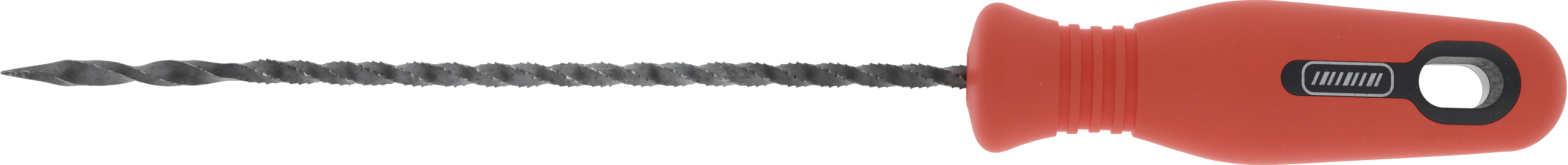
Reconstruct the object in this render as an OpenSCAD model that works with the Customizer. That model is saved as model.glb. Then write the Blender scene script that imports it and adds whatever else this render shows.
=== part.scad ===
// Spiral tyre rasp: a twisted steel bar with notched corners and a spear tip, held in a
// handle of two moulded plastics, a hard core and a soft grip.
// X runs along the tool, from the tip at -X to the butt at +X, and Y runs across it.
// The tool lies on its side on the plane z = 0, with one face of its keyhole panel up.
// Places along the tool are given from the handle's front face, positive into the handle.

/* [Overall] */
// Length of the rasp outside the handle
rasp_l = 172.6; // [160:0.1:190]
// Length of the handle
handle_l = 107.15; // [106:0.05:109]
// Half thickness of the handle at its flange and belly, the two places it lies on
lie_h = 12.9; // [12.4:0.1:13.4]
// Angle by which the rasp leans sideways from the handle's axis
rasp_lean = 0.85; // [0:0.05:1.2]

/* [Rasp] */
// Width of the twisted bar
bar_w = 3.6; // [3.4:0.05:3.8]
// Thickness of the twisted bar
bar_t = 2.95; // [2.7:0.05:3.1]
// Width of the spear head between its corners
spear_w = 4.2; // [3.8:0.05:4.4]
// Thickness of the spear head between its corners
spear_t = 2.2; // [2:0.05:2.6]
// Length of half a turn of the twist, midway along the rasp
half_turn = 13.3; // [12.5:0.1:15]
// Share by which the twist slows down towards each end
twist_fade = 0.33; // [0:0.01:0.4]
// Distance between teeth along the rasp
tooth_pitch = 1.457; // [1.4:0.001:2]
// How much of a corner each notch takes away, along each side of the bar
tooth_cut = 0.3; // [0.1:0.01:0.35]

/* [Grip] */
// Half width of the flange that guards the hand
flange_r = 13.43; // [13:0.01:13.8]
// Half width of the belly
belly_r = 14.76; // [14.2:0.01:15.2]
// Half width where the rounded butt begins
butt_r = 11.55; // [11.2:0.01:11.9]
// Length of the rounded butt
butt_l = 10.95; // [10:0.05:12]
// Half widths of the raised ribs, from the front
rib_r = [9.84, 9.54, 9.71];
// Half widths of the groove floors, from the front
floor_r = [9.45, 9, 9.05, 9.2];
// Distance from one rib to the next
rib_pitch = 3.95; // [3.9:0.05:4.1]

/* [Keyhole panel and hanging hole] */
// Half width of the panel's arm, which is also the radius of its nub
arm_r = 3.12; // [2.9:0.01:3.5]
// Radius of the panel's eye
eye_r = 7.41; // [7.2:0.01:7.9]
// Radius of the fillets between arm and eye
panel_fillet = 2.83; // [2:0.01:3.5]
// Length of the hanging hole
hole_l = 15.1; // [14.5:0.01:15.4]
// Width of the hanging hole
hole_w = 9.1; // [8.6:0.01:9.3]
// How far the hole's wall draws in on each side, halfway through the handle
hole_draft = 0.52; // [0.2:0.02:0.6]

/* [Hidden] */

// Where the handle's front face is
front_x = (rasp_l - handle_l) / 2;

// Rasp, by distance from the tip
tip_round = 0.25;
spear_bulge = [0.12, 0.15];
spear_size = [[0, 0.15], [2, 0.34], [5.5, 0.67], [9.6, 0.99], [12.5, 1.03], [16, 1], [30, 1.02],
    [36, 0.98]];
cone_end = 6;
flats_start = 13;
twist_start = 14.5;
twist_mid = 103.1;
even_twist = 63.5;
shoulder_start = 36;
shoulder_end = 42;
first_tooth = 43;
tooth_fade_in = 4;
steep_share = 0.11;
corner_break = 0.62;
spear_break = 0.24;
// How deep each corner is cut, as a share of its break: on the cone, the spear's flats and the bar
cone_easing = 0.293;
spear_easing = 0.4;
bar_easing = 0.1;
// How deep the first notch is, before the notches reach their full depth
first_cut = 0.06;
// A corner's break is kept below this share of the bar's width and thickness
break_limit = 0.45;
// Sideways bow of the rasp
rasp_bow = [[0, 0.07], [29, 0.1], [36, 0.22], [47, 0.48], [58, 0.3], [86, 0.04], [104, 0.15], [128, 0.3],
    [146, 0.28], [160, 0.18], [175, 0]];

// Tang, by distance into the handle
teeth_end = 3.8;
tang_start = 4;
tang_end = 60;
wing_start = 38;
wing_end = 47;
wing_w = 7;
wing_t = 1.7;
wing_ramp = 0.6;
bore_r = 2.42;
// How far the cutter of the bore starts in front of the handle
bore_lead = 2;

// Grip, by distance from the front face, which has a low round boss for the rasp
front_outline = [[0, 4.4], [0.1, 5.3], [0.25, 5.5]];
neck_start = 16.2;
neck_end = 30.1;
rib_edge = 0.2;
rib_fall = 0.03;
// Where the two ends of the neck meet its floors
neck_front_l = 0.25;
neck_back_l = 0.5;
neck_rise = [0.2, 0.3];
// Where the first rib starts, as a share of their pitch from the neck's start
rib_offset = 0.47;
flange_curve = [[1.3, 9.6], [2, 11.3], [3, 12.55], [4.2, 13.25], [5.7, flange_r],
    [7.3, 13.05], [10, 12], [13.2, 10.97], [16, 10.33]];
belly_curve = [[neck_end, 10.2], [33, 11], [38.4, 12.57], [44.9, 14.14], [51.5, belly_r],
    [58, 14.5], [66.7, 13.86], [77.6, 13.09], [88.5, 12.27], [handle_l - butt_l, butt_r]];
// The flat that closes the butt: how far it lies behind the curve's end, and its half width
butt_flat_l = 0.04;
butt_flat_r = 1.2;
side_points = 48;
butt_thinning = 0.12;
thinning_start = 55;
thinning_l = 37;
oval_start = 10;
oval_l = 35;
round_section = 2;
full_section = 2.2;

// Core and panel
nub_x = 57.6;
eye_front_x = 84.42;
eye_back_x = 89.71;
hole_x = 86.54;
// Height of the panel's face at the hole, as a share of the handle's half thickness
eye_height = 0.74;
cut_h = 40;
spine_profile = [[0, 3], [5.4, 3], [6, 3.6], [6, 29], [8.8, 42], [9.4, 55], [8.4, 90],
    [7, 98], [4.5, 100.5], [0, 100.5]];

function clamp01(v) = min(1, max(0, v));
function ease(v) = let (t = clamp01(v)) t * t * (3 - 2 * t);
function mix(a, b, t) = a + (b - a) * t;

// A smooth curve through a row of points, as the height at x
function slope_at(row, i) = let (a = row[max(0, i - 1)], b = row[min(len(row) - 1, i + 1)])
    (b[1] - a[1]) / (b[0] - a[0]);
function span_of(row, x, i = 0) = (i >= len(row) - 2 || x <= row[i + 1][0]) ? i : span_of(row, x, i + 1);
function curve(row, x) =
    let (i = span_of(row, x), a = row[i], b = row[i + 1], w = b[0] - a[0], t = (x - a[0]) / w)
    (2 * pow(t, 3) - 3 * t * t + 1) * a[1] + (pow(t, 3) - 2 * t * t + t) * w * slope_at(row, i)
    + (3 * t * t - 2 * pow(t, 3)) * b[1] + (pow(t, 3) - t * t) * w * slope_at(row, i + 1);

// A closed solid through rings that all have the same number of points
module loft(rings) {
    n = len(rings[0]);
    last = len(rings) - 1;
    sides = [for (i = [0 : last - 1], j = [0 : n - 1]) let (k = (j + 1) % n)
        each [[i * n + j, (i + 1) * n + k, i * n + k], [i * n + j, (i + 1) * n + j, (i + 1) * n + k]]];
    front = [[for (j = [0 : n - 1]) j]];
    back = [[for (j = [n - 1 : -1 : 0]) last * n + j]];
    polyhedron(points = [for (ring = rings) each ring], faces = concat(sides, front, back));
}

// ---- Rasp ----

twist_reach = twist_mid - twist_start;
// Half turns of the bar's twist up to s. The first turns lead into it in uneven steps
function bar_turned(s) = let (u = s - twist_mid, share = twist_fade / 3)
    (u * (1 - share * pow(u / twist_reach, 2)) + twist_reach * (1 - share)) / half_turn;
first_turns = [[9, -0.28], [10.6, -0.21], [13.4, -0.01], [16.2, 0.11], [19.4, 0.28], [21.1, 0.355],
    [23.8, 0.505], [27.7, 0.745], [32, 0.99], [35.5, 1.22], [39.9, 1.48], [42.5, 1.51], [46.6, 1.75],
    [50.2, 2], [56.8, 2.5], [even_twist, bar_turned(even_twist)]];
function twist(s) = 180 * (s < even_twist ? curve(first_turns, max(s, first_turns[0][0]))
    : bar_turned(min(s, rasp_l + tang_start)));
function bow(s) = curve(rasp_bow, min(s, rasp_bow[len(rasp_bow) - 1][0]));
function shoulder(s) = ease((s - shoulder_start) / (shoulder_end - shoulder_start));
function size_at(s) = curve(spear_size, min(s, spear_size[len(spear_size) - 1][0]));
function blade_w(s) = mix(spear_w * size_at(s), bar_w, shoulder(s));
function blade_t(s) = mix(spear_t * size_at(s), bar_t, shoulder(s));

// One ring of the bar: each face swells at its middle, and each corner is a point between two
// others, drawn in by cut
function bar_ring(s, w, t, edge, cut, bulge = [0, 0]) =
    let (e = min(edge, break_limit * w, break_limit * t), c = min(cut, e / 2),
        quarter = [[w / 2, t / 2 - e], [w / 2 - c, t / 2 - c], [w / 2 - e, t / 2]],
        half = concat([[w / 2 + bulge[0], 0]], quarter, [[0, t / 2 + bulge[1]]],
            [for (i = [2 : -1 : 0]) [-quarter[i][0], quarter[i][1]]]),
        outline = concat(half, [for (p = half) -p]), a = twist(s))
    [for (p = outline) [s - rasp_l, p[0] * cos(a) - p[1] * sin(a) + bow(s), p[0] * sin(a) + p[1] * cos(a)]];

function plain_ring(s) =
    let (flat = ease((s - cone_end) / (flats_start - cone_end)), share = shoulder(s),
        edge = mix(mix(break_limit * blade_t(s), spear_break, flat), corner_break, share),
        easing = mix(mix(cone_easing, spear_easing, flat), bar_easing, share))
    bar_ring(s, blade_w(s), blade_t(s), edge, easing * edge, spear_bulge * size_at(s) * (1 - share));
function notch_ring(s) = bar_ring(s, blade_w(s), blade_t(s), corner_break,
    mix(first_cut, tooth_cut, clamp01((s - first_tooth) / tooth_fade_in)));
function crest_ring(s) = bar_ring(s, blade_w(s), blade_t(s), corner_break, 0);
function tang_ring(d, w, t) = bar_ring(rasp_l + d, w, t, corner_break, 0);

tooth_count = floor((rasp_l + teeth_end - first_tooth) / tooth_pitch);
tip_ring = bar_ring(0, blade_w(0) / 2, blade_t(0) / 2, spear_break, spear_break);
spear_places = [tip_round, 1, each [2 : 2 : 14], each [15.5 : 1.3 : first_tooth - 0.8]];
spear_rings = concat([tip_ring], [for (s = spear_places) plain_ring(s)]);
tooth_rings = [for (i = [0 : tooth_count - 1]) let (s = first_tooth + i * tooth_pitch)
    each [notch_ring(s), crest_ring(s + steep_share * tooth_pitch)]];
tang_rings = [tang_ring(tang_start, bar_w, bar_t),
    tang_ring(wing_start - wing_ramp, bar_w, bar_t), tang_ring(wing_start, wing_w, wing_t),
    tang_ring(wing_end, wing_w, wing_t), tang_ring(wing_end + wing_ramp, bar_w, bar_t),
    tang_ring(tang_end, bar_w, bar_t)];

module along_rasp() {
    translate([front_x, 0, lie_h]) rotate([0, 0, rasp_lean]) children();
}

module rasp_blade() {
    color([0.36, 0.35, 0.34]) along_rasp() loft(concat(spear_rings, tooth_rings, tang_rings));
}

// The space that the rasp takes inside the handle
module rasp_socket() {
    along_rasp() {
        translate([-bore_lead, 0, 0]) rotate([0, 90, 0])
            cylinder(r = bore_r, h = tang_start + bore_lead, $fn = 48);
        loft(tang_rings);
    }
}

// ---- Handle ----

// Half width of the ribbed neck: its floors and ribs, each edge eased over rib_edge
rib_count = len(rib_r);
function rib_start(i) = neck_start + rib_pitch * (i + rib_offset);
neck_outline = concat([[neck_start + neck_front_l, floor_r[0]]],
    [for (i = [0 : rib_count - 1]) let (a = rib_start(i), b = a + rib_pitch / 2)
        each [[a - rib_edge / 2, floor_r[i]], [a, rib_r[i] - rib_edge / 3], [a + rib_edge, rib_r[i]],
            [b - rib_edge, rib_r[i] - rib_fall], [b, rib_r[i] - rib_edge],
            [b + rib_edge / 2, floor_r[i + 1]]]],
    [[neck_end - neck_back_l, floor_r[rib_count] - 0.05],
        [neck_end - neck_rise[0], floor_r[rib_count] + neck_rise[1]]]);

// The handle's outline from the front face to the butt, as pairs of place and half width
flange_outline = [for (d = [1.3, 1.65, 2, 2.5, 3, 3.6, 4.2, 5, 5.7, 6.5, each [7.3 : 1.7 : 15.8], 16])
    [d, curve(flange_curve, d)]];
belly_outline = [for (d = [neck_end, 30.5, 31.5, 33, each [35 : 2.5 : 50], 51.5, 54, 58,
    each [62 : 5.5 : 90], handle_l - butt_l]) [d, curve(belly_curve, d)]];
butt_outline = [for (a = [9 : 9 : 81]) [handle_l - butt_l * (1 - sin(a)), butt_r * cos(a)]];
outline = concat(front_outline, flange_outline, neck_outline, belly_outline, butt_outline,
    [[handle_l - butt_flat_l, butt_flat_r]]);

// The section goes from round at the flange to a fuller, flatter oval at the belly, and the
// handle thins towards the butt
function belly_share(d) = ease((d - oval_start) / oval_l);
function flatness(d) = mix(lie_h / flange_r, lie_h / belly_r, belly_share(d))
    * (1 - butt_thinning * ease((d - thinning_start) / thinning_l));
function handle_ring(d, r) = let (p = 2 / mix(round_section, full_section, belly_share(d)))
    [for (i = [0 : side_points - 1]) let (a = 360 * i / side_points)
        [d, r * sign(cos(a)) * pow(abs(cos(a)), p), r * flatness(d) * sign(sin(a)) * pow(abs(sin(a)), p)]];

module along_handle() {
    translate([front_x, 0, lie_h]) children();
}

module handle_body() {
    along_handle() loft([for (p = outline) handle_ring(p[0], p[1])]);
}

// The keyhole shape of the panel, which reaches through the grip to both faces
module keyhole_outline() {
    fillet_y = arm_r + panel_fillet;
    fillet_x = eye_front_x - sqrt(pow(eye_r + panel_fillet, 2) - fillet_y * fillet_y);
    reach = eye_front_x - fillet_x;
    touch = eye_r / (eye_r + panel_fillet);
    translate([nub_x, 0]) circle(r = arm_r, $fn = 64);
    translate([nub_x, -arm_r]) square([eye_front_x - nub_x, 2 * arm_r]);
    for (x = [eye_front_x, eye_back_x]) translate([x, 0]) circle(r = eye_r, $fn = 96);
    translate([eye_front_x, -eye_r]) square([eye_back_x - eye_front_x, 2 * eye_r]);
    for (side = [-1, 1]) difference() {
        polygon([[fillet_x, 0], [fillet_x, side * fillet_y],
            [eye_front_x - reach * touch, side * fillet_y * touch], [eye_front_x, 0]]);
        translate([fillet_x, side * fillet_y]) circle(r = panel_fillet, $fn = 64);
    }
}

// What the grip leaves free: the keyhole shape and the spine that runs through the handle
module core_space() {
    along_handle() {
        translate([0, 0, -cut_h / 2]) linear_extrude(height = cut_h) keyhole_outline();
        rotate([0, 90, 0]) rotate_extrude($fn = 64) polygon(spine_profile);
    }
}

// The hanging hole narrows to the parting line halfway through
function oblong_ring(draw, z) = let (r = hole_w / 2 - draw, x = (hole_l - hole_w) / 2)
    [for (side = [1, -1], i = [0 : 12]) let (a = -90 + 15 * i)
        [hole_x + side * (x + r * cos(a)), side * r * sin(a), z]];
module hanging_hole() {
    face_z = lie_h * eye_height;
    along_handle() loft([oblong_ring(0, -cut_h), oblong_ring(0, -face_z), oblong_ring(hole_draft, 0),
        oblong_ring(0, face_z), oblong_ring(0, cut_h)]);
}

module handle_core() {
    color([0.16, 0.16, 0.17]) difference() {
        intersection() {
            handle_body();
            core_space();
        }
        rasp_socket();
        hanging_hole();
    }
}

module grip_sleeve() {
    color([0.73, 0.28, 0.24]) difference() {
        handle_body();
        core_space();
        rasp_socket();
    }
}

rasp_blade();
handle_core();
grip_sleeve();
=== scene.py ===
"""Looks for the spiral tyre rasp: a notched, twisted steel bar in a handle of black and red plastic.

Shapes are worked out in millimetres in the tool's own axes: d runs from the handle's front face into the
handle, y across the tool and z up out of the panel, both from the handle's axis. placed() turns them into
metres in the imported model's frame.
"""

import math

import bmesh
import bpy
import numpy as np
from mathutils import Matrix, Vector
from mathutils.geometry import delaunay_2d_cdt


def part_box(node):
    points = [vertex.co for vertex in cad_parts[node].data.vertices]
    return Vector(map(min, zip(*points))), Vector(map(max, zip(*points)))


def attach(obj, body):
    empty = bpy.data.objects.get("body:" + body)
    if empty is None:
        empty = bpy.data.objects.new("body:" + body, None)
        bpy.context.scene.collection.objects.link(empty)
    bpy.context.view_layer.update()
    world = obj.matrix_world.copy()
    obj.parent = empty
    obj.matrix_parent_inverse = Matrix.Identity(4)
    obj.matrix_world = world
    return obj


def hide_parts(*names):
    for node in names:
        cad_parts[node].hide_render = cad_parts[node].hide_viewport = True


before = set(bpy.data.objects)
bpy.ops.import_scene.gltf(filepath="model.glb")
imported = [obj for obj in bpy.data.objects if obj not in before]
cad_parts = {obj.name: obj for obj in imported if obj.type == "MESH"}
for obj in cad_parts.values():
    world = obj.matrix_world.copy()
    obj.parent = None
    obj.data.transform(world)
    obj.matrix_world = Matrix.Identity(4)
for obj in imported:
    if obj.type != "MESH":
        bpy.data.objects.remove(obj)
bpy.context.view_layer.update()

MM = 0.001
rng = np.random.default_rng(11)

# ---------------------------------------------------------------- sizes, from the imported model

grip_low, grip_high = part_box("grip_sleeve")
blade_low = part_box("rasp_blade")[0]
front_x = grip_low.x / MM
handle_l = (grip_high.x - grip_low.x) / MM
axis_z = (grip_low.z + grip_high.z) / 2 / MM
lie_h = (grip_high.z - grip_low.z) / 2 / MM
belly_r = grip_high.y / MM
rasp_l = front_x - blade_low.x / MM

# The handle's outline: place along the handle and half width, as in the CAD model
flange_r = 13.43
butt_r = 11.55
butt_l = handle_l - 96.2
rib_r = (9.84, 9.54, 9.71)
floor_r = (9.45, 9.0, 9.05, 9.2)
rib_pitch, rib_offset = 3.95, 0.47
oval_start, oval_l = 10, 35
butt_thinning, thinning_start, thinning_l = 0.12, 55, 37
neck_start = 16.2
neck_end = 30.1
# The neck's floors are those of its rings that are no wider than this
groove_r = 9.52
flange_curve = ((1.3, 9.6), (2, 11.3), (3, 12.55), (4.2, 13.25), (5.7, flange_r), (7.3, 13.05), (10, 12),
                (13.2, 10.97), (16, 10.33))
belly_curve = ((neck_end, 10.2), (33, 11), (38.4, 12.57), (44.9, 14.14), (51.5, belly_r), (58, 14.5),
               (66.7, 13.86), (77.6, 13.09), (88.5, 12.27), (handle_l - butt_l, butt_r))

# The keyhole panel and the hanging hole
nub_x = 57.6
arm_r = 3.12
eye_r = 7.41
eye_front_x = 84.42
eye_back_x = 89.71
panel_fillet = 2.83
hole_x = 86.54
hole_l = 15.1
hole_w = 9.1
hole_draft = 0.52

# The rasp
rasp_lean = math.radians(0.85)
bar_w, bar_t = 3.6, 2.95
spear_w, spear_t, spear_bulge = 4.2, 2.2, (0.12, 0.15)
spear_size = ((0, 0.15), (2, 0.36), (5.5, 0.69), (9.6, 1), (12.5, 1.03), (16, 1), (30, 1.02),
              (36, 0.97))
cone_end, flats_start = 6.0, 13.0
tip_round = 0.3
spear_break, corner_break = 0.24, 0.55
break_limit = 0.44
half_turn, twist_fade, twist_start, twist_mid = 13.3, 0.33, 14.5, 103.1
# Half turns of the twist up to each place, over the stretch where it is uneven
first_turns = ((9, -0.28), (10.6, -0.21), (13.4, -0.01), (16.2, 0.11), (19.4, 0.28), (21.1, 0.355),
               (23.8, 0.505), (27.7, 0.745), (32, 0.99), (35.5, 1.22), (39.9, 1.48), (42.5, 1.51),
               (46.6, 1.75), (50.2, 2), (56.8, 2.5), (63.5, 3.017))
rasp_bow = ((0, 0.07), (29, 0.1), (36, 0.22), (47, 0.48), (58, 0.3), (86, 0.04), (104, 0.15),
            (128, 0.3), (146, 0.28), (160, 0.18), (175, 0))
shoulder_start, shoulder_end = 36.0, 42.0
first_tooth, tooth_fade_in, tooth_pitch = 43.0, 4.0, 1.457
notch_reach, notch_depth = 0.5, 1.24

tang_start, tang_end = 4.0, 54.5
bore_r, bore_end = 2.42, 54.8

# The printed badge on the panel's arm
print_start, print_end, print_h, print_corner, print_line = 58.1, 74.4, 5.9, 2.14, 0.46
bar_count, bar_margin, bar_h, bar_slant = 9, 1.9, 1.15, 0.5

# Fineness of the meshes, widths of the rounded edges and gaps, and how thick the ink is
AROUND = 256
SIDE_POINTS, CORNER_POINTS = 6, 9
WELD, SLIVER = 0.002, 0.0002
GRIP_EDGE = (0, 0.03, 0.07, 0.12, 0.18)
PANEL_EDGE = (0, 0.03, 0.07, 0.12)
HOLE_EDGE = (0, 0.05, 0.12, 0.2, 0.3)
PANEL_GAP = 0.08
INK_TOP, INK_FOOT = 0.03, 0.003

# One tooth: place in the pitch, share of the notch's depth, share of the burr, and how bare the steel is,
# which also sets how bright its painted glint is
TOOTH = ((0, 1, 0, 0.2), (0.04, 0.9, 0.1, 0.4), (0.07, 0.5, 0.7, 0.9), (0.1, 0.28, 1, 1),
         (0.16, 0.25, 1, 1), (0.22, 0.28, 0.75, 1), (0.29, 0.3, 0.3, 0.7), (0.38, 0.34, 0, 0.4),
         (0.55, 0.5, 0, 0.3), (0.7, 0.66, 0, 0.25), (0.88, 0.88, 0, 0.2))

# Camera, in millimetres and degrees. It stands camera_off beyond the middle of the view, towards the butt
camera_distance, camera_elevation, camera_roll = 463.0, 85.7, 1.08
camera_x, camera_y = front_x - 6.3, -1.1
camera_off = 26.3
view_width = 280.2

# Floor size in metres, and the surroundings: brightness against the cosine of the angle from DIM_SIDE,
# and how much dimmer they are at the tool's two ends
FLOOR, FLOOR_GLOW = 3.0, 1.0
DIM_SIDE = (0.0, 0.22, 0.975)
DIM_ENDS = 0.7
SKY = ((0.0, 0.7), (0.4, 0.88), (0.707, 0.84), (0.866, 0.55), (0.94, 0.3), (1.0, 0.2))


def clamp01(v):
    return np.clip(v, 0.0, 1.0)


def ease(v):
    t = clamp01(v)
    return t * t * (3 - 2 * t)


def mix(a, b, t):
    return a + (b - a) * t


def curve(points, x):
    """A smooth curve through a row of points, as the height at each x."""
    p = np.array(points, float)
    x = np.asarray(x, float)
    lo, hi = np.maximum(np.arange(len(p)) - 1, 0), np.minimum(np.arange(len(p)) + 1, len(p) - 1)
    slope = (p[hi, 1] - p[lo, 1]) / (p[hi, 0] - p[lo, 0])
    i = np.clip(np.searchsorted(p[:, 0], x) - 1, 0, len(p) - 2)
    w = p[i + 1, 0] - p[i, 0]
    t = (x - p[i, 0]) / w
    return ((2 * t**3 - 3 * t**2 + 1) * p[i, 1] + (t**3 - 2 * t**2 + t) * w * slope[i]
            + (3 * t**2 - 2 * t**3) * p[i + 1, 1] + (t**3 - t**2) * w * slope[i + 1])


def placed(points):
    """Points in the tool's axes, as metres in the frame."""
    return (np.asarray(points, float) + (front_x, 0, axis_z)) * MM


# ---------------------------------------------------------------- node helpers for materials

def new_material(name):
    """A material, its node tree's nodes and links, and its shader."""
    material = bpy.data.materials.new(name)
    material.use_nodes = True
    nodes, links = material.node_tree.nodes, material.node_tree.links
    return material, nodes, links, nodes["Principled BSDF"]


def linear(r, g, b):
    """A colour given as it looks on a screen, 0 to 255, as Blender's linear values."""
    def one(v):
        v /= 255
        return v / 12.92 if v <= 0.04045 else ((v + 0.055) / 1.055) ** 2.4
    return (one(r), one(g), one(b), 1)


def noise_node(nodes, links, coords, scale, detail=2.0, roughness=0.5):
    """A noise texture, scale in features per metre."""
    n = nodes.new("ShaderNodeTexNoise")
    n.inputs["Scale"].default_value = scale
    n.inputs["Detail"].default_value = detail
    n.inputs["Roughness"].default_value = roughness
    links.new(coords, n.inputs["Vector"])
    return n.outputs["Fac"]


def mapped(nodes, links, coords, scale=(1, 1, 1), turn=0.0, shift=0.0):
    """Coordinates scaled, turned about Z and shifted along X, for a stretched or moved texture."""
    n = nodes.new("ShaderNodeMapping")
    n.inputs["Scale"].default_value = scale
    n.inputs["Rotation"].default_value = (0, 0, turn)
    n.inputs["Location"].default_value = (shift, 0, 0)
    links.new(coords, n.inputs["Vector"])
    return n.outputs["Vector"]


def split_xyz(nodes, links, coords):
    n = nodes.new("ShaderNodeSeparateXYZ")
    links.new(coords, n.inputs["Vector"])
    return n.outputs


def attribute_value(nodes, name):
    n = nodes.new("ShaderNodeAttribute")
    n.attribute_name = name
    return n.outputs["Fac"]


def ramp_node(nodes, links, value, stops):
    """A colour ramp over value. Each stop is a place and a colour."""
    ramp = nodes.new("ShaderNodeValToRGB")
    while len(ramp.color_ramp.elements) < len(stops):
        ramp.color_ramp.elements.new(0.5)
    for element, (place, colour) in zip(ramp.color_ramp.elements, stops):
        element.position = place
        element.color = colour if len(colour) == 4 else (*colour, 1)
    links.new(value, ramp.inputs["Fac"])
    return ramp.outputs["Color"]


def map_range(nodes, links, value, low, high, to_low, to_high):
    """Value, from low to high, as a value from to_low to to_high, held at both ends."""
    n = nodes.new("ShaderNodeMapRange")
    for name, v in (("From Min", low), ("From Max", high), ("To Min", to_low), ("To Max", to_high)):
        n.inputs[name].default_value = v
    links.new(value, n.inputs["Value"])
    return n.outputs["Result"]


def mix_colour(nodes, links, share, a, b, blend="MIX"):
    """Mixes two colours. a, b and share may each be a socket or a value."""
    n = nodes.new("ShaderNodeMix")
    n.data_type = "RGBA"
    n.blend_type = blend
    for name, v in (("Factor", share), ("A", a), ("B", b)):
        socket = next(s for s in n.inputs if s.name == name and s.enabled)
        if isinstance(v, bpy.types.NodeSocket):
            links.new(v, socket)
        else:
            socket.default_value = v
    return next(s for s in n.outputs if s.enabled)


def combine(nodes, links, operation, a, b):
    """The result of a maths operation. a and b may each be a socket or a value."""
    n = nodes.new("ShaderNodeMath")
    n.operation = operation
    for i, v in enumerate((a, b)):
        if isinstance(v, bpy.types.NodeSocket):
            links.new(v, n.inputs[i])
        else:
            n.inputs[i].default_value = v
    return n.outputs[0]


def bump_node(nodes, links, height, distance, strength=1.0, normal=None):
    """A bump in metres, on top of another one where normal is given."""
    n = nodes.new("ShaderNodeBump")
    n.inputs["Distance"].default_value = distance
    n.inputs["Strength"].default_value = strength
    links.new(height, n.inputs["Height"])
    if normal is not None:
        links.new(normal, n.inputs["Normal"])
    return n.outputs["Normal"]


def object_coords(nodes):
    return nodes.new("ShaderNodeTexCoord").outputs["Object"]


# ---------------------------------------------------------------- materials

def grip_material():
    """Soft red elastomer: a fine matte grain, a pale bloom at grazing angles, a little dust, and painted
    shade, a darker and deeper red, in the floors of the neck's grooves.
    """
    material, nodes, links, shader = new_material("grip_red")
    at = object_coords(nodes)
    cloud = noise_node(nodes, links, at, 60, 3)
    colour = ramp_node(nodes, links, cloud, ((0.3, linear(226, 85, 67)), (0.7, linear(231, 90, 71))))
    dust = noise_node(nodes, links, at, 2600, 1, 0.4)
    speck = map_range(nodes, links, dust, 0.775, 0.80, 0.0, 0.6)
    colour = mix_colour(nodes, links, speck, colour, linear(235, 200, 190))
    # Painted shade: the groove floors get a darker, deeper red
    colour = mix_colour(nodes, links, attribute_value(nodes, "groove"), colour, linear(230, 74, 55))
    links.new(colour, shader.inputs["Base Color"])
    grain = noise_node(nodes, links, at, 5200, 2, 0.6)
    links.new(map_range(nodes, links, grain, 0.3, 0.7, 0.32, 0.40), shader.inputs["Roughness"])
    links.new(bump_node(nodes, links, grain, 0.000006, 0.5), shader.inputs["Normal"])
    shader.inputs["IOR"].default_value = 1.45
    shader.inputs["Specular IOR Level"].default_value = 0.3
    return material


def core_material():
    """Hard black plastic: satin, with faint clouding and fine handling scratches."""
    material, nodes, links, shader = new_material("core_black")
    at = object_coords(nodes)
    cloud = noise_node(nodes, links, at, 180, 4)
    colour = ramp_node(nodes, links, cloud, ((0.3, linear(27, 27, 34)), (0.7, linear(34, 34, 41))))
    scratch = noise_node(nodes, links, mapped(nodes, links, at, (0.06, 1, 1), math.radians(65)), 2600)
    scratched = map_range(nodes, links, scratch, 0.72, 0.78, 0.0, 0.3)
    colour = mix_colour(nodes, links, scratched, colour, linear(110, 111, 116))
    dust = noise_node(nodes, links, at, 2300, 1, 0.4)
    speck = map_range(nodes, links, dust, 0.775, 0.80, 0.0, 0.5)
    colour = mix_colour(nodes, links, speck, colour, linear(170, 170, 172))
    links.new(colour, shader.inputs["Base Color"])
    grain = noise_node(nodes, links, at, 3500, 3, 0.6)
    links.new(map_range(nodes, links, grain, 0.3, 0.7, 0.34, 0.46), shader.inputs["Roughness"])
    links.new(bump_node(nodes, links, grain, 0.00001, 0.4), shader.inputs["Normal"])
    shader.inputs["IOR"].default_value = 1.49
    return material


def wall_material():
    """The hanging hole's wall: the same plastic, scuffed and drawn along the pull of the core pin."""
    material, nodes, links, shader = new_material("core_wall")
    at = object_coords(nodes)
    scuff = noise_node(nodes, links, mapped(nodes, links, at, (1, 1, 0.25)), 1500, 5, 0.65)
    colour = ramp_node(nodes, links, scuff, ((0.35, linear(138, 138, 139)), (0.58, linear(180, 180, 180)),
                                             (0.75, linear(215, 214, 213))))
    along = split_xyz(nodes, links, at)["X"]
    end = (front_x + hole_x) * MM
    clean = map_range(nodes, links, along, end + 0.002, end + 0.0052, 0.0, 0.96)
    colour = mix_colour(nodes, links, clean, colour, linear(16, 16, 17))
    scratch = noise_node(nodes, links, at, 3200, 3, 0.6)
    scratched = map_range(nodes, links, scratch, 0.58, 0.68, 0.0, 0.4)
    colour = mix_colour(nodes, links, scratched, colour, linear(170, 170, 168))
    links.new(colour, shader.inputs["Base Color"])
    links.new(map_range(nodes, links, scuff, 0.3, 0.7, 0.3, 0.6), shader.inputs["Roughness"])
    links.new(bump_node(nodes, links, scuff, 0.00014, 0.9), shader.inputs["Normal"])
    shader.inputs["Specular IOR Level"].default_value = 0.25
    return material


def lower_wall_material():
    """The hole's wall below the parting line, which came out of the mould smooth and glossy."""
    material, nodes, links, shader = new_material("core_wall_low")
    at = object_coords(nodes)
    cloud = noise_node(nodes, links, at, 700, 3)
    colour = ramp_node(nodes, links, cloud, ((0.3, linear(120, 120, 121)), (0.7, linear(145, 145, 145))))
    links.new(colour, shader.inputs["Base Color"])
    links.new(map_range(nodes, links, cloud, 0.3, 0.7, 0.12, 0.22), shader.inputs["Roughness"])
    return material


def ink_material():
    """Pale pad-printed ink, slightly uneven and rubbed."""
    material, nodes, links, shader = new_material("panel_ink")
    at = object_coords(nodes)
    wear = noise_node(nodes, links, at, 1500, 4, 0.6)
    colour = ramp_node(nodes, links, wear, ((0.30, linear(120, 122, 126)), (0.42, linear(196, 200, 208)),
                                            (0.7, linear(206, 209, 217))))
    links.new(colour, shader.inputs["Base Color"])
    links.new(map_range(nodes, links, wear, 0.3, 0.7, 0.45, 0.6), shader.inputs["Roughness"])
    return material


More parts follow.
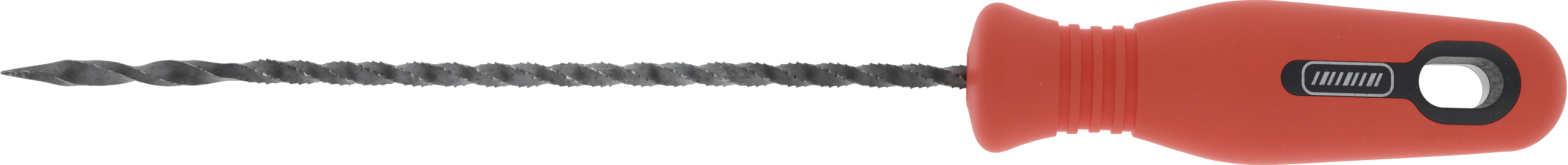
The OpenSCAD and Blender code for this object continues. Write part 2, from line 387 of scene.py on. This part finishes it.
def steel_material():
    """Dark hardened steel: mottled scale, pits, and paler metal where the crests and edges are bare, made
    bright enough to stand as a painted glint there.
    """
    material, nodes, links, shader = new_material("rasp_steel")
    at = object_coords(nodes)
    blotch = noise_node(nodes, links, at, 190, 5, 0.6)
    greys = ((0.30, linear(90, 88, 84)), (0.44, linear(112, 112, 112)), (0.58, linear(128, 130, 133)),
             (0.72, linear(143, 146, 151)))
    colour = ramp_node(nodes, links, blotch, greys)
    pits = noise_node(nodes, links, at, 1500, 5, 0.66)
    pitted = map_range(nodes, links, pits, 0.54, 0.64, 0.0, 0.5)
    colour = mix_colour(nodes, links, pitted, colour, linear(58, 57, 55))
    smear = noise_node(nodes, links, at, 420, 4, 0.6)
    smeared = map_range(nodes, links, smear, 0.64, 0.69, 0.0, 0.45)
    colour = mix_colour(nodes, links, smeared, colour, linear(128, 124, 104))
    along = split_xyz(nodes, links, at)["X"]
    # Darker over the blade's last millimetres before the handle
    dark_by_handle = map_range(nodes, links, along, -0.008, 0.004, 0.0, 0.62)
    colour = mix_colour(nodes, links, dark_by_handle, colour, linear(64, 60, 57))
    darker = map_range(nodes, links, along, -0.085, -0.045, 0.34, 0.0)
    colour = mix_colour(nodes, links, darker, colour, linear(70, 70, 72))
    area = noise_node(nodes, links, mapped(nodes, links, at, shift=-0.0517), 90)
    streaks = noise_node(nodes, links, mapped(nodes, links, at, (0.4, 1, 1)), 3000, 4, 0.7)
    scuff = combine(nodes, links, "MULTIPLY", area, streaks)
    chipped = map_range(nodes, links, scuff, 0.37, 0.42, 0.0, 0.5)
    patchy = map_range(nodes, links, noise_node(nodes, links, at, 900, 3, 0.6), 0.42, 0.58, 0.25, 1.0)
    # Bare metal on crests and edges: partly real wear, partly a painted glint that stays bright under any
    # light
    worn_and_glint = combine(nodes, links, "MULTIPLY", attribute_value(nodes, "bare_and_glint"), patchy)
    worn_and_glint = map_range(nodes, links, worn_and_glint, 0.05, 0.5, 0.0, 1.0)
    # The bare metal and its painted glints fade towards the handle
    dulled = map_range(nodes, links, along, -0.035, 0.0, 1.0, 0.35)
    worn_and_glint = combine(nodes, links, "MULTIPLY", combine(nodes, links, "MAXIMUM", worn_and_glint, chipped), dulled)
    colour = mix_colour(nodes, links, worn_and_glint, colour, linear(238, 238, 236))
    links.new(colour, shader.inputs["Base Color"])
    links.new(map_range(nodes, links, worn_and_glint, 0.0, 1.0, 1.0, 0.35), shader.inputs["Metallic"])
    rough = map_range(nodes, links, pits, 0.3, 0.7, 0.27, 0.45)
    rough = combine(nodes, links, "ADD", rough, combine(nodes, links, "MULTIPLY", worn_and_glint, 0.15))
    links.new(rough, shader.inputs["Roughness"])
    fine = noise_node(nodes, links, at, 3600, 3, 0.6)
    normal = bump_node(nodes, links, blotch, 0.0003, 0.6)
    normal = bump_node(nodes, links, noise_node(nodes, links, at, 520, 3, 0.55), 0.00012, 0.6, normal)
    normal = bump_node(nodes, links, pits, 0.00003, 0.6, normal)
    links.new(bump_node(nodes, links, fine, 0.000008, 0.6, normal), shader.inputs["Normal"])
    return material


# ---------------------------------------------------------------- mesh helper

class Builder:
    """Collects points, in the tool's axes, and faces with the number of their material."""

    def __init__(self):
        self.points, self.faces, self.kinds, self.count = [], [], [], 0

    def add(self, points, faces, kind=0):
        base = self.count
        self.points.append(np.asarray(points, float).reshape(-1, 3))
        self.faces += [tuple(base + int(i) for i in f) for f in faces]
        self.kinds += [kind] * len(faces)
        self.count += len(self.points[-1])

    def add_rings(self, rings, kind=0, skip=None):
        """Quads between rings of points, facing right of the way the rings go round and outward."""
        n = len(rings[0])
        quads = [(k * n + j, k * n + (j + 1) % n, (k + 1) * n + (j + 1) % n, (k + 1) * n + j)
                 for k in range(len(rings) - 1) for j in range(n) if skip is None or not skip(k, j)]
        self.add(np.concatenate(rings), quads, kind)

    def piece(self, name, materials, replaces=(), slot=None, sharp=35, label=None, values=()):
        """The mesh as a smooth object that rides on the part's one body, coinciding points joined.

        label and values give its first points a named value for the material, and the rest get none.
        """
        mesh = bpy.data.meshes.new(name)
        points = placed(np.concatenate(self.points))
        mesh.from_pydata(points.tolist(), [], self.faces)
        mesh.polygons.foreach_set("material_index", self.kinds)
        if label:
            layer = mesh.attributes.new(label, "FLOAT", "POINT")
            layer.data.foreach_set("value", np.concatenate([values, np.zeros(len(points) - len(values))]))
        solid = bmesh.new()
        solid.from_mesh(mesh)
        bmesh.ops.remove_doubles(solid, verts=solid.verts, dist=WELD * MM)
        solid.to_mesh(mesh)
        solid.free()
        for material in materials:
            mesh.materials.append(material)
        mesh.shade_smooth()
        mesh.set_sharp_from_angle(angle=math.radians(sharp))
        piece = bpy.data.objects.new(name, mesh)
        bpy.context.scene.collection.objects.link(piece)
        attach(piece, "root")
        if replaces:
            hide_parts(*replaces)
        return piece


# ---------------------------------------------------------------- handle surface

def belly_share(d):
    """How far the section has gone from the flange's round one to the belly's fuller oval."""
    return ease((np.asarray(d, float) - oval_start) / oval_l)


def flatness(d):
    """The handle's half thickness as a share of its half width."""
    d = np.asarray(d, float)
    thinned = 1 - butt_thinning * ease((d - thinning_start) / thinning_l)
    return mix(lie_h / flange_r, lie_h / belly_r, belly_share(d)) * thinned


def exponent(d):
    """The power of the section's superellipse."""
    return mix(2.0, 2.2, belly_share(d))


def rounded_path(corners, step=0.12):
    """A path through corners (d, r, radius), each turned with an arc of that radius."""
    out = [np.array(corners[0][:2], float)]
    for before, (x, r, radius), after in zip(corners, corners[1:], corners[2:]):
        c = np.array((x, r), float)
        u, v = np.array(before[:2]) - c, np.array(after[:2]) - c
        lu, lv = np.linalg.norm(u), np.linalg.norm(v)
        u, v = u / lu, v / lv
        half = math.acos(np.clip(u @ v, -1, 1)) / 2
        if radius == 0 or half > math.radians(88):
            out.append(c)
            continue
        cut = min(radius / math.tan(half), 0.48 * lu, 0.48 * lv)
        real = cut * math.tan(half)
        centre = c + (u + v) / np.linalg.norm(u + v) * real / math.sin(half)
        a, b = c + u * cut - centre, c + v * cut - centre
        turn = math.atan2(a[0] * b[1] - a[1] * b[0], a @ b)
        for t in np.linspace(0, turn, max(3, int(abs(turn) * real / step) + 2)):
            out.append(centre + np.array((a[0] * math.cos(t) - a[1] * math.sin(t),
                                          a[0] * math.sin(t) + a[1] * math.cos(t))))
    out.append(np.array(corners[-1][:2], float))
    return np.array(out)


def handle_outline():
    """The outline from the edge of the front face to the butt, as rows of place and half width."""
    front = [(0, 4.4, 0), (0.1, 4.45, 0), (0.12, 5.3, 0.05), (0.28, 5.5, 0.1)]
    flange = [(d, min(flange_r, float(curve(flange_curve, d))), 0) for d in np.arange(1.3, 15.6, 0.3)]
    ribs = [(neck_start - 0.05, 10.31, 0.25), (neck_start + 0.08, floor_r[0] + 0.06, 0.15)]
    for i, r in enumerate(rib_r):
        a = neck_start + rib_pitch * (i + rib_offset)
        b = a + rib_pitch / 2
        ribs += [(a - 0.05, floor_r[i], 0.12), (a + 0.05, r, 0.2), (b - 0.14, r - 0.02, 0.28),
                 (b + 0.04, floor_r[i + 1], 0.12)]
    ribs += [(neck_end - 0.45, floor_r[3] + 0.03, 0.15), (neck_end - 0.2, 10.12, 0.3)]
    belly = [(d, min(belly_r, float(curve(belly_curve, d))), 0)
             for d in np.arange(neck_end + 0.5, handle_l - butt_l, 0.45)]
    turn = np.radians(np.arange(0, 90, 2.0))
    butt = np.stack([handle_l - butt_l * (1 - np.sin(turn)), butt_r * np.cos(turn)], 1)
    return np.concatenate([rounded_path(front + flange + ribs + belly), butt])


def body_ring(d, r, angles):
    """The handle's section at d with half width r, at the given angles."""
    p = 2 / exponent(d)
    c, s = np.cos(angles), np.sin(angles)
    return np.stack([np.full_like(c, d), r * np.sign(c) * np.abs(c) ** p,
                     r * flatness(d) * np.sign(s) * np.abs(s) ** p], -1)


def half_width(d):
    """The outline's half width in the belly and butt, where the panel is."""
    d = np.asarray(d, float)
    butt = butt_r * np.sqrt(np.maximum(0, 1 - ((d - handle_l + butt_l) / butt_l) ** 2))
    belly = np.minimum(belly_r, curve(belly_curve, np.minimum(d, handle_l - butt_l)))
    return np.where(d > handle_l - butt_l, butt, belly)


def surface_z(d, y):
    """Height of the handle's surface above its axis, at places along and across it."""
    a, n = half_width(d), exponent(d)
    return a * flatness(d) * np.maximum(0, 1 - np.minimum(1, np.abs(y) / a) ** n) ** (1 / n)


def surface_point(flat, lift=0.0):
    """Points of the upper surface over (d, y), lifted off it along its normal."""
    d, y = flat[:, 0], flat[:, 1]
    h = 0.01
    n = np.stack([-(surface_z(d + h, y) - surface_z(d - h, y)) / (2 * h),
                  -(surface_z(d, y + h) - surface_z(d, y - h)) / (2 * h), np.ones_like(d)], -1)
    n /= np.linalg.norm(n, axis=-1, keepdims=True)
    return np.stack([d, y, surface_z(d, y)], -1) + n * np.broadcast_to(lift, d.shape)[:, None]


def mirrored(points):
    """Points of the upper side, on the lower side."""
    return points * (1, 1, -1)


def rounded_drop(distance, radius):
    """How far a rounded edge falls below the surface, at a distance from the edge."""
    t = radius - np.clip(distance, 0, radius)
    return radius - np.sqrt(radius**2 - t**2)


# ---------------------------------------------------------------- outlines of the panel, hole and print

def arc(x, y, r, start, end, n):
    """n points on an arc, angles in degrees, without its last point."""
    a = np.radians(np.linspace(start, end, n, endpoint=False))
    return np.stack([x + r * np.cos(a), y + r * np.sin(a)], -1)


def line(a, b, step=0.25):
    """Points from a towards b, without b."""
    t = np.linspace(0, 1, max(2, round(math.dist(a, b) / step)), endpoint=False)[:, None]
    return np.array(a, float) + (np.array(b, float) - np.array(a, float)) * t


def keyhole(grow=0.0):
    """The keyhole panel's outline, grown outward, anticlockwise, as (d, y)."""
    fillet_y = arm_r + panel_fillet
    fillet_x = eye_front_x - math.sqrt((eye_r + panel_fillet) ** 2 - fillet_y**2)
    lean = math.degrees(math.atan2(fillet_y, fillet_x - eye_front_x))
    nub, fillet, eye = arm_r + grow, panel_fillet - grow, eye_r + grow
    return np.concatenate([
        arc(nub_x, 0, nub, 90, 270, 40), line((nub_x, -nub), (fillet_x, -nub)),
        arc(fillet_x, -fillet_y, fillet, 90, 180 - lean, 14), arc(eye_front_x, 0, eye, -lean, -90, 28),
        line((eye_front_x, -eye), (eye_back_x, -eye)), arc(eye_back_x, 0, eye, -90, 90, 90),
        line((eye_back_x, eye), (eye_front_x, eye)), arc(eye_front_x, 0, eye, 90, lean, 28),
        arc(fillet_x, fillet_y, fillet, lean - 180, -90, 14), line((fillet_x, nub), (nub_x, nub))])


def oblong(grow=0.0):
    """The hanging hole's outline, grown outward, anticlockwise, as (d, y)."""
    r, x = hole_w / 2 + grow, (hole_l - hole_w) / 2
    return np.concatenate([
        arc(hole_x + x, 0, r, -90, 90, 56), line((hole_x + x, r), (hole_x - x, r)),
        arc(hole_x - x, 0, r, 90, 270, 56), line((hole_x - x, -r), (hole_x + x, -r))])


def signed_distance(points, loop):
    """Distance of each point outside a closed loop, negative inside."""
    best = np.full(len(points), np.inf)
    inside = np.zeros(len(points), bool)
    for a, b in zip(loop, np.roll(loop, -1, 0)):
        e = b - a
        t = np.clip(((points - a) @ e) / (e @ e), 0, 1)
        best = np.minimum(best, np.linalg.norm(points - a - t[:, None] * e, axis=1))
        if e[1] != 0:
            crosses = (a[1] > points[:, 1]) != (b[1] > points[:, 1])
            inside ^= crosses & (points[:, 0] < a[0] + (points[:, 1] - a[1]) * e[0] / e[1])
    return np.where(inside, -best, best)


def triangulated(loops, loose):
    """Triangles over closed loops and loose points, all anticlockwise."""
    edges, base = [], 0
    for loop in loops:
        edges += [(base + i, base + (i + 1) % len(loop)) for i in range(len(loop))]
        base += len(loop)
    flat = np.concatenate([*loops, loose])
    made = delaunay_2d_cdt([Vector(p) for p in flat], edges, [], 0, 1e-7)
    points = np.array([flat[origin[0]] if origin else tuple(v) for v, origin in zip(made[0], made[3])])
    triangles = np.array([tuple(f) for f in made[2]])
    a, b, c = (points[triangles[:, i]] for i in range(3))
    turned = (b - a)[:, 0] * (c - a)[:, 1] - (b - a)[:, 1] * (c - a)[:, 0] < 0
    triangles[turned] = triangles[turned][:, ::-1]
    return points, triangles


def filled(edges, holes, spacing):
    """Points and triangles inside the first of edges and outside the first of holes."""
    low, high = edges[0].min(0), edges[0].max(0)
    rows = np.arange(low[1], high[1], spacing * math.sqrt(3) / 2)
    grid = np.array([(x + spacing / 2 * (i % 2), y) for i, y in enumerate(rows)
                     for x in np.arange(low[0], high[0], spacing)])
    keep = signed_distance(grid, edges[-1]) < -0.6 * spacing
    if holes:
        keep &= signed_distance(grid, holes[-1]) > 0.6 * spacing
    points, triangles = triangulated([*edges, *holes], grid[keep])
    middle = points[triangles].mean(1)
    keep = signed_distance(middle, edges[0]) < -SLIVER
    if holes:
        keep &= signed_distance(middle, holes[0]) > SLIVER
    return points, triangles[keep]


# ---------------------------------------------------------------- rasp shape

twist_reach = twist_mid - twist_start


def twist(s):
    """Turn of the bar's section at s from the tip, in radians."""
    if s < first_turns[-1][0]:
        return math.pi * float(curve(first_turns, max(s, first_turns[0][0])))
    u = min(s, rasp_l + tang_start) - twist_mid
    share = twist_fade / 3
    return math.pi * (u * (1 - share * (u / twist_reach) ** 2) + twist_reach * (1 - share)) / half_turn


def shoulder(s):
    return ease((s - shoulder_start) / (shoulder_end - shoulder_start))


def along_rasp(points):
    """Points of the straight rasp, leant sideways as it sits in the handle."""
    c, s = math.cos(rasp_lean), math.sin(rasp_lean)
    at = np.clip(points[:, 0] + rasp_l, 0, rasp_bow[-1][0])
    y = points[:, 1] + curve(rasp_bow, at)
    return np.stack([points[:, 0] * c - y * s, points[:, 0] * s + y * c, points[:, 2]], -1)


def bar_ring(s, w, t, reach, sharpness, burr, bulge):
    """One section of the bar at s from the tip, w by t, with sides that swell by bulge.

    Each corner is a curve over reach, raised by its burr. Its sharpness is below 1 for a hollow, 1 for a
    chamfer and about 8 for a sharp corner.
    """
    quarters = []
    corner = np.linspace(0, math.pi / 2, CORNER_POINTS)
    for i in range(4):
        p = 2 / sharpness[i]
        out = burr[i] * np.sin(2 * corner) ** 2
        x = w / 2 - reach + reach * np.cos(corner) ** p + out
        y = t / 2 - reach + reach * np.sin(corner) ** p + out
        up = np.linspace(0, t / 2 - reach, SIDE_POINTS, endpoint=False)
        over = np.linspace(w / 2 - reach, 0, SIDE_POINTS + 1)[1:-1]
        q = np.concatenate([np.stack([np.full_like(up, w / 2), up], -1), np.stack([x, y], -1),
                            np.stack([over, np.full_like(over, t / 2)], -1)])
        if i % 2:
            q = np.concatenate([q[1:], [[0, t / 2]]])[::-1]
        q = q + np.array(bulge) * (1 - (q[:, ::-1] / (t / 2, w / 2)) ** 2)
        quarters.append(q * ((1, 1), (-1, 1), (-1, -1), (1, -1))[i])
    p = np.concatenate(quarters)
    a = twist(s)
    return np.stack([np.full(len(p), s - rasp_l), p[:, 0] * math.cos(a) - p[:, 1] * math.sin(a),
                     p[:, 0] * math.sin(a) + p[:, 1] * math.cos(a)], -1)


def bar_radius(s, angles, gap):
    """Distance from the rasp's axis to just outside its bar, at the given angles."""
    c, n = np.abs(np.cos(angles - twist(s))), np.abs(np.sin(angles - twist(s)))
    flat = np.minimum(bar_w / 2 / np.maximum(c, 1e-9), bar_t / 2 / np.maximum(n, 1e-9))
    return np.minimum(flat, (bar_w + bar_t - 0.12) / 2 / (c + n)) + gap


# ---------------------------------------------------------------- pieces

def make_grip():
    """The red sleeve: the handle's skin with a keyhole window through it and a hole for the shaft."""
    angles = np.linspace(0, 2 * math.pi, AROUND, endpoint=False)
    c, s = np.cos(angles), np.sin(angles)

    def bore_ring(d, r):
        return np.stack([np.full_like(c, d), r * c + d * math.sin(rasp_lean), r * s], -1)

    outline = handle_outline()
    bore = [bore_ring(d, np.full_like(c, bore_r)) for d in (bore_end, tang_start + 0.5)]
    bore += [bore_ring(d, bar_radius(rasp_l + d, angles, gap))
             for d, gap in ((tang_start - 0.1, 0.04), (2.6, 0.04), (1.3, 0.04), (0.4, 0.04), (0.12, 0.04),
                            (0.04, 0.07), (0, 0.15))]
    lip = bore[-1].copy()
    lip[:, 1:] = (lip[:, 1:] + body_ring(0, outline[0, 1], angles)[:, 1:]) / 2
    rings = [*bore, lip] + [body_ring(d, r, angles) for d, r in outline]
    first = len(bore) + 1
    k0 = first + int(np.searchsorted(outline[:, 0], nub_x - arm_r - 1.0))
    k1 = first + int(np.searchsorted(outline[:, 0], eye_back_x + eye_r + 1.2))
    j0, j1 = AROUND // 8, AROUND * 3 // 8

    def in_window(k, j):
        return k0 <= k < k1 and (j0 <= j < j1 or AROUND - j1 <= j < AROUND - j0)

    skin = Builder()
    skin.add_rings(rings, skip=in_window)
    end = np.array([[bore_end, bore_end * math.sin(rasp_lean), 0]])
    skin.add(np.concatenate([end, rings[0]]), [(0, (j + 1) % AROUND + 1, j + 1) for j in range(AROUND)])
    butt = np.array([[handle_l, 0, 0]])
    skin.add(np.concatenate([butt, rings[-1]]), [(j + 1, (j + 1) % AROUND + 1, 0) for j in range(AROUND)])

    # The window's frame is worked out unrolled: d against the angle round the handle
    unroll = belly_r

    def to_unrolled(flat):
        share = np.clip(flat[:, 1] / half_width(flat[:, 0]), -1, 1)
        n = exponent(flat[:, 0])
        return np.stack([flat[:, 0], np.arccos(np.sign(share) * np.abs(share) ** (n / 2)) * unroll], -1)

    def to_flat(unrolled):
        share = np.cos(unrolled[:, 1] / unroll)
        n = exponent(unrolled[:, 0])
        y = half_width(unrolled[:, 0]) * np.sign(share) * np.abs(share) ** (2 / n)
        return np.stack([unrolled[:, 0], y], -1)

    d = outline[k0 - first:k1 - first + 1, 0]
    v = angles[j0:j1 + 1] * unroll
    border = np.array([(x, v[0]) for x in d[:-1]] + [(d[-1], y) for y in v[:-1]]
                      + [(x, v[-1]) for x in d[:0:-1]] + [(d[0], y) for y in v[:0:-1]])
    inner = np.array([(x, y) for x in d[1:-1] for y in v[1:-1]])
    window = keyhole()
    inner = inner[signed_distance(to_flat(inner), window) > GRIP_EDGE[-1] + 0.2]
    loops = [to_unrolled(keyhole(t)) for t in GRIP_EDGE]
    points, triangles = triangulated([border, *loops], inner)
    flat = to_flat(points)
    triangles = triangles[signed_distance(flat[triangles].mean(1), window) > SLIVER]
    lift = -rounded_drop(signed_distance(flat, window), GRIP_EDGE[-1])
    top = surface_point(flat, lift)
    skin.add(top, triangles[:, ::-1])
    skin.add(mirrored(top), triangles)
    rim = surface_point(window, -GRIP_EDGE[-1])
    skin.add_rings([rim, mirrored(rim)])
    low = (outline[:, 0] > neck_start) & (outline[:, 0] < neck_end - 0.4) & (outline[:, 1] < groove_r)
    # The groove floors, which the grip's material paints with shade
    groove_shade_share = np.concatenate([np.zeros(first), low.astype(float)])
    skin.piece("grip_skin", [grip_material()], replaces=["grip_sleeve"], slot="grip_rubber",
               label="groove", values=np.repeat(groove_shade_share, AROUND))


def make_core():
    """The black keyhole panel, through the handle, with the hanging hole in its eye."""
    edges = [keyhole(-PANEL_GAP - t) for t in PANEL_EDGE]
    holes = [oblong(t) for t in HOLE_EDGE]
    flat, triangles = filled(edges, holes, 0.4)
    lift = (-rounded_drop(-signed_distance(flat, edges[0]), PANEL_EDGE[-1])
            - rounded_drop(signed_distance(flat, holes[0]), HOLE_EDGE[-1]))
    top = surface_point(flat, lift)
    core = Builder()
    core.add(top, triangles)
    core.add(mirrored(top), triangles[:, ::-1])
    rim = surface_point(edges[0], -PANEL_EDGE[-1])
    core.add_rings([mirrored(rim), rim])

    mouth = surface_point(holes[0], -HOLE_EDGE[-1])
    half = [mouth]
    for depth in (0.02, 0.1, 0.25, 0.45, 0.65, 0.85, 0.96):
        ring = np.concatenate([oblong(-hole_draft * depth), mouth[:, 2:] * (1 - depth)], 1)
        half.append(ring)
    parting = [np.concatenate([oblong(-hole_draft - out), np.full((len(mouth), 1), z)], 1)
               for out, z in ((0, 0.1), (0.06, 0.04), (0.06, -0.04), (0, -0.1))]
    core.add_rings([*half, *parting[:2]], kind=1)
    core.add_rings([*parting[1:], *[mirrored(r) for r in half[::-1]]], kind=2)
    core.piece("core_panel", [core_material(), wall_material(), lower_wall_material()],
               replaces=["handle_core"], slot="core_plastic")


def make_print():
    """A generic printed badge: a rounded frame round a row of slanted tread bars."""
    ink = Builder()

    def frame_loop(inset):
        x0, x1, y, r = print_start + inset, print_end - inset, print_h / 2 - inset, print_corner - inset
        return np.concatenate([
            arc(x1 - r, -y + r, r, -90, 0, 12), line((x1, -y + r), (x1, y - r)),
            arc(x1 - r, y - r, r, 0, 90, 12), line((x1 - r, y), (x0 + r, y)),
            arc(x0 + r, y - r, r, 90, 180, 12), line((x0, y - r), (x0, -y + r)),
            arc(x0 + r, -y + r, r, 180, 270, 12), line((x0 + r, -y), (x1 - r, -y))])

    def add_solid(edge, hole=None):
        flat, triangles = filled([edge], [] if hole is None else [hole], 0.3)
        high, low = surface_point(flat, INK_TOP), surface_point(flat, INK_FOOT)
        ink.add(high, triangles)
        ink.add(low, triangles[:, ::-1])
        ink.add_rings([surface_point(edge, INK_FOOT), surface_point(edge, INK_TOP)])
        if hole is not None:
            ink.add_rings([surface_point(hole, INK_TOP), surface_point(hole, INK_FOOT)])

    add_solid(frame_loop(0), frame_loop(print_line))
    start, stop = print_start + bar_margin, print_end - bar_margin
    step = (stop - start) / bar_count
    for i in range(bar_count):
        x, w = start + step * (i + 0.2), step * (0.42 + 0.2 * (i % 3 == 1))
        corners = [(x - bar_slant, -bar_h), (x - bar_slant + w, -bar_h), (x + bar_slant + w, bar_h),
                   (x + bar_slant, bar_h)]
        add_solid(np.concatenate([line(a, b, 0.2) for a, b in zip(corners, corners[1:] + corners[:1])]))
    ink.piece("panel_print", [ink_material()])


def make_rasp():
    """The rasp: a spear head, then a twisted bar with a notch across each corner at every tooth."""
    rings, bare_and_glint = [], []
    side = SIDE_POINTS
    # Where the bare metal and its painted glint lie across each corner, for all four corners
    profile = np.concatenate([np.zeros(side), np.sin(np.linspace(0, math.pi, CORNER_POINTS)) ** 2,
                              np.zeros(side - 1)])
    wear = np.concatenate([profile, np.roll(profile, -1)[::-1]] * 2)

    def add(s, w, t, reach, sharpness, burr=(0, 0, 0, 0), shine=0.0, bulge=(0, 0)):
        reach = min(reach, break_limit * w, break_limit * t)
        rings.append(along_rasp(bar_ring(s, w, t, reach, sharpness, burr, bulge)))
        bare_and_glint.append(wear * np.repeat(np.broadcast_to(shine, 4), len(profile)))

    def add_spear(s, swell=1.0):
        share, flat = shoulder(s), ease((s - cone_end) / (flats_start - cone_end))
        size = float(curve(spear_size, min(s, spear_size[-1][0]))) * swell
        w, t = mix(spear_w * size, bar_w, share), mix(spear_t * size, bar_t, share)
        reach = mix(mix(break_limit * t, spear_break, flat), corner_break, share)
        # The spear's edges get thin lines of bare metal with a painted highlight
        add(s, w, t, reach, [mix(2, 5, share)] * 4, shine=0.36 * flat,
            bulge=np.array(spear_bulge) * size * (1 - share))

    for s in (0.0, 0.03, 0.09, 0.18, tip_round):
        add_spear(s, math.sqrt(1 - (1 - s / tip_round) ** 2) * 0.98 + 0.02)
    for s in np.arange(0.6, first_tooth - 0.2, 0.3):
        add_spear(s)
    count = int((rasp_l + tang_start - first_tooth) / tooth_pitch)
    for i in range(count):
        root = first_tooth + i * tooth_pitch
        fade = ease((root - first_tooth + tooth_pitch) / tooth_fade_in)
        depth = fade * notch_depth * rng.uniform(0.8, 1.2, 4)
        lip = fade * rng.uniform(0.03, 0.14, 4)
        jitter = rng.uniform(-0.02, 0.02)
        # How strong each corner's bare metal and painted glint are
        glint = rng.uniform(0.5, 1.3, 4) ** 2
        for phase, cut, burr, shine in TOOTH:
            s = root + (phase + (jitter if phase else 0)) * tooth_pitch
            share = shoulder(s)
            w, t = mix(spear_w, bar_w, share), mix(spear_t, bar_t, share)
            sharp = [-1 / math.log2(1 - max(cut * k, 0.09) / 2) for k in depth]
            add(s, w, t, notch_reach, sharp, lip * burr, shine * glint)
    for d in (tang_start + 0.1, 6, 20, 40, tang_end):
        add(rasp_l + d, bar_w, bar_t, corner_break, [4] * 4)
    bar = Builder()
    bar.add_rings(rings)
    n = len(rings[0])
    bar.faces += [tuple(range(n - 1, -1, -1)), tuple(range((len(rings) - 1) * n, len(rings) * n))]
    bar.kinds += [0, 0]
    bar.piece("rasp_bar", [steel_material()], replaces=["rasp_blade"], slot="blade_steel", sharp=30,
              label="bare_and_glint", values=np.concatenate(bare_and_glint))


# ---------------------------------------------------------------- floor, light and camera

def make_stage():
    """A plain white floor that glows evenly, as a light table does."""
    mesh = bpy.data.meshes.new("floor")
    corners = ((-1, -1), (1, -1), (1, 1), (-1, 1))
    mesh.from_pydata([(x * FLOOR, y * FLOOR, 0) for x, y in corners], [], [(0, 1, 2, 3)])
    material, nodes, links, shader = new_material("floor_white")
    shader.inputs["Base Color"].default_value = (0.05, 0.05, 0.05, 1)
    shader.inputs["Roughness"].default_value = 1
    shader.inputs["Emission Color"].default_value = (1, 1, 1, 1)
    shader.inputs["Emission Strength"].default_value = FLOOR_GLOW
    mesh.materials.append(material)
    floor = bpy.data.objects.new("floor", mesh)
    bpy.context.scene.collection.objects.link(floor)


def make_world():
    """Soft white surroundings, brightest near the horizon and dimmer overhead."""
    world = bpy.data.worlds.new("studio")
    bpy.context.scene.world = world
    world.use_nodes = True
    nodes, links = world.node_tree.nodes, world.node_tree.links
    towards = nodes.new("ShaderNodeTexCoord").outputs["Generated"]
    near = nodes.new("ShaderNodeVectorMath")
    near.operation = "DOT_PRODUCT"
    near.inputs[1].default_value = DIM_SIDE
    links.new(towards, near.inputs[0])
    ends = combine(nodes, links, "POWER", split_xyz(nodes, links, towards)["X"], 4.0)
    ends = combine(nodes, links, "MULTIPLY", ends, DIM_ENDS)
    colour = ramp_node(nodes, links, near.outputs["Value"], [(place, (v, v, v, 1)) for place, v in SKY])
    links.new(colour, nodes["Background"].inputs["Color"])
    links.new(combine(nodes, links, "SUBTRACT", 1.0, ends), nodes["Background"].inputs["Strength"])


def make_camera():
    """Looks down on the tool, square to its length and a little from its near side."""
    data = bpy.data.cameras.new("camera")
    data.sensor_width = 36
    data.lens = 36 * camera_distance / view_width
    data.shift_x = -camera_off / view_width
    data.clip_start, data.clip_end = 0.01, 50
    camera = bpy.data.objects.new("camera", data)
    e, roll = math.radians(camera_elevation), math.radians(camera_roll)
    back = Vector((0, -math.cos(e), math.sin(e)))
    up = Vector((0, math.sin(e), math.cos(e)))
    along = Vector((1, 0, 0))
    right = math.cos(roll) * along + math.sin(roll) * up
    turned_up = math.cos(roll) * up - math.sin(roll) * along
    place = Vector((camera_x, camera_y, axis_z)) * MM + back * camera_distance * MM
    turned = Matrix((right, turned_up, back)).transposed().to_4x4()
    camera.matrix_world = Matrix.Translation(place) @ turned
    bpy.context.scene.collection.objects.link(camera)
    bpy.context.scene.camera = camera


make_camera()
make_world()
make_stage()
make_grip()
make_core()
make_print()
make_rasp()

bpy.context.scene.view_settings.view_transform = "Standard"
